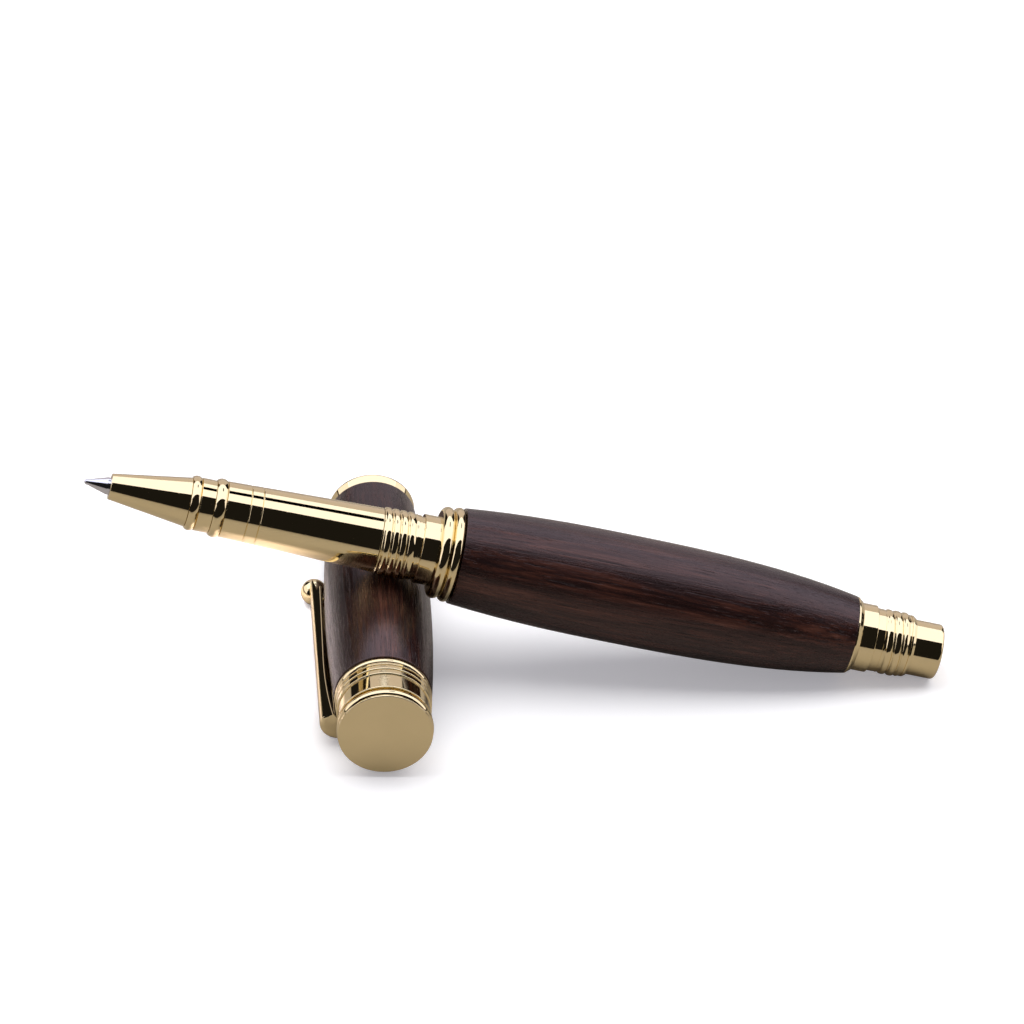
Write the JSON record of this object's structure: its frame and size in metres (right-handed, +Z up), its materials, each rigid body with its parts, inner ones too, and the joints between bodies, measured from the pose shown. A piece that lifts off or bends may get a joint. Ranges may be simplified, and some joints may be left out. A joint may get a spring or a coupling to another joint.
{
  "type": "rollerball pen",
  "caption": "Turned wooden rollerball pen with gold-plated fittings, cap off, lying across its clipped cap.",
  "frame": {"origin": "on the table, under the middle of the bounding box", "axes": "+X along the pen towards its tail, +Y along the cap's axis towards its mouth, +Z up from the table"},
  "size_m": [0.1252, 0.055, 0.0306],
  "materials": {
    "gold_plating": "polished pale gold plating",
    "rosewood": "gloss finish over dark reddish-brown streaked wood",
    "tube_brass": "plain drawn tube",
    "bright_steel": "bright turned",
    "black_plastic": "moulded",
    "ink": "liquid"
  },
  "bodies": {
    "cap_body": {"cap_barrel": "rosewood", "cap_tube": "tube_brass", "cap_mouth_band": "gold_plating", "cap_mouth_insert": "black_plastic", "cap_coupler": "gold_plating", "cap_trim_ring": "gold_plating", "clip_ring": "gold_plating", "finial": "gold_plating", "finial_stud": "bright_steel"},
    "clip_body": {"clip_arm": "gold_plating", "clip_ball": "gold_plating"},
    "pen_body": {"pen_barrel": "rosewood", "pen_tube": "tube_brass", "thread_coupler": "gold_plating", "coupler_insert": "black_plastic", "centre_band": "gold_plating", "tail_ring": "gold_plating", "tail_bushing": "gold_plating", "tail_plug": "gold_plating", "refill_spring": "bright_steel"},
    "refill_body": {"refill_tip": "bright_steel", "tip_holder": "black_plastic", "refill_tube": "bright_steel", "refill_ink": "ink", "refill_plug": "black_plastic"},
    "section_body": {"grip_section": "gold_plating"},
    "ball_body": {"writing_ball": "bright_steel"}
  },
  "joints": [
    {"name": "pen_lift", "type": "slide", "parent": "cap_body", "child": "pen_body", "axis": [0, 0, 1], "range_m": [0, 0.04]},
    {"name": "clip_flex", "type": "hinge", "parent": "cap_body", "child": "clip_body", "pos_m": [-0.02573, -0.0199, 0.00393], "axis": [-0.5446, 0, 0.8387], "range_deg": [0, 3], "stiffness_Nm_per_rad": 0.5},
    {"name": "refill_slide", "type": "slide", "parent": "pen_body", "child": "refill_body", "axis": [-0.9784, 0.0453, 0.2015], "range_m": [0, 0.00496], "deforming": ["refill_spring"]},
    {"name": "section_unscrew", "type": "hinge", "parent": "refill_body", "child": "section_body", "pos_m": [-0.05893, 0.00321, 0.02882], "axis": [-0.9784, 0.0453, 0.2015], "range_deg": [0, 1620]},
    {"name": "ball_roll", "type": "hinge", "parent": "refill_body", "child": "ball_body", "pos_m": [-0.06225, 0.00336, 0.0295], "axis": [0.0462, 0.9989, 0], "continuous": true}
  ],
  "couplings": [
    {"joint": "refill_slide", "follows": "section_unscrew", "m_per_rad": 0.00017507}
  ]
}
